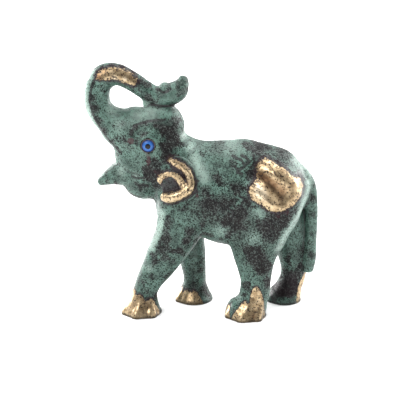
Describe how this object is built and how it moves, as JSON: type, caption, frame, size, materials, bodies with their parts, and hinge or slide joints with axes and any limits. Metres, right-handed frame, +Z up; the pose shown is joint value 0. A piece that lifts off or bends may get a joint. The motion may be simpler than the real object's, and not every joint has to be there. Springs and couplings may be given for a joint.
{
  "type": "elephant figurine",
  "caption": "Small cast bronze elephant ornament, walking with its trunk curled back onto its forehead, with glass bead eyes. Stands on its feet.",
  "frame": {"origin": "centre of the footprint of the whole elephant, on the ground under its four soles", "axes": "+Z up, -X the way the elephant faces, -Y its left side"},
  "size_m": [0.069, 0.0268, 0.0747],
  "materials": {
    "patinated_bronze": "speckled green patina, rubbed to gold on the high points",
    "bead_glass": "opaque, glossy, with a dark pupil"
  },
  "bodies": {
    "root": {"elephant_casting": "patinated_bronze", "left_eye_bead": "bead_glass", "right_eye_bead": "bead_glass"}
  },
  "joints": []
}
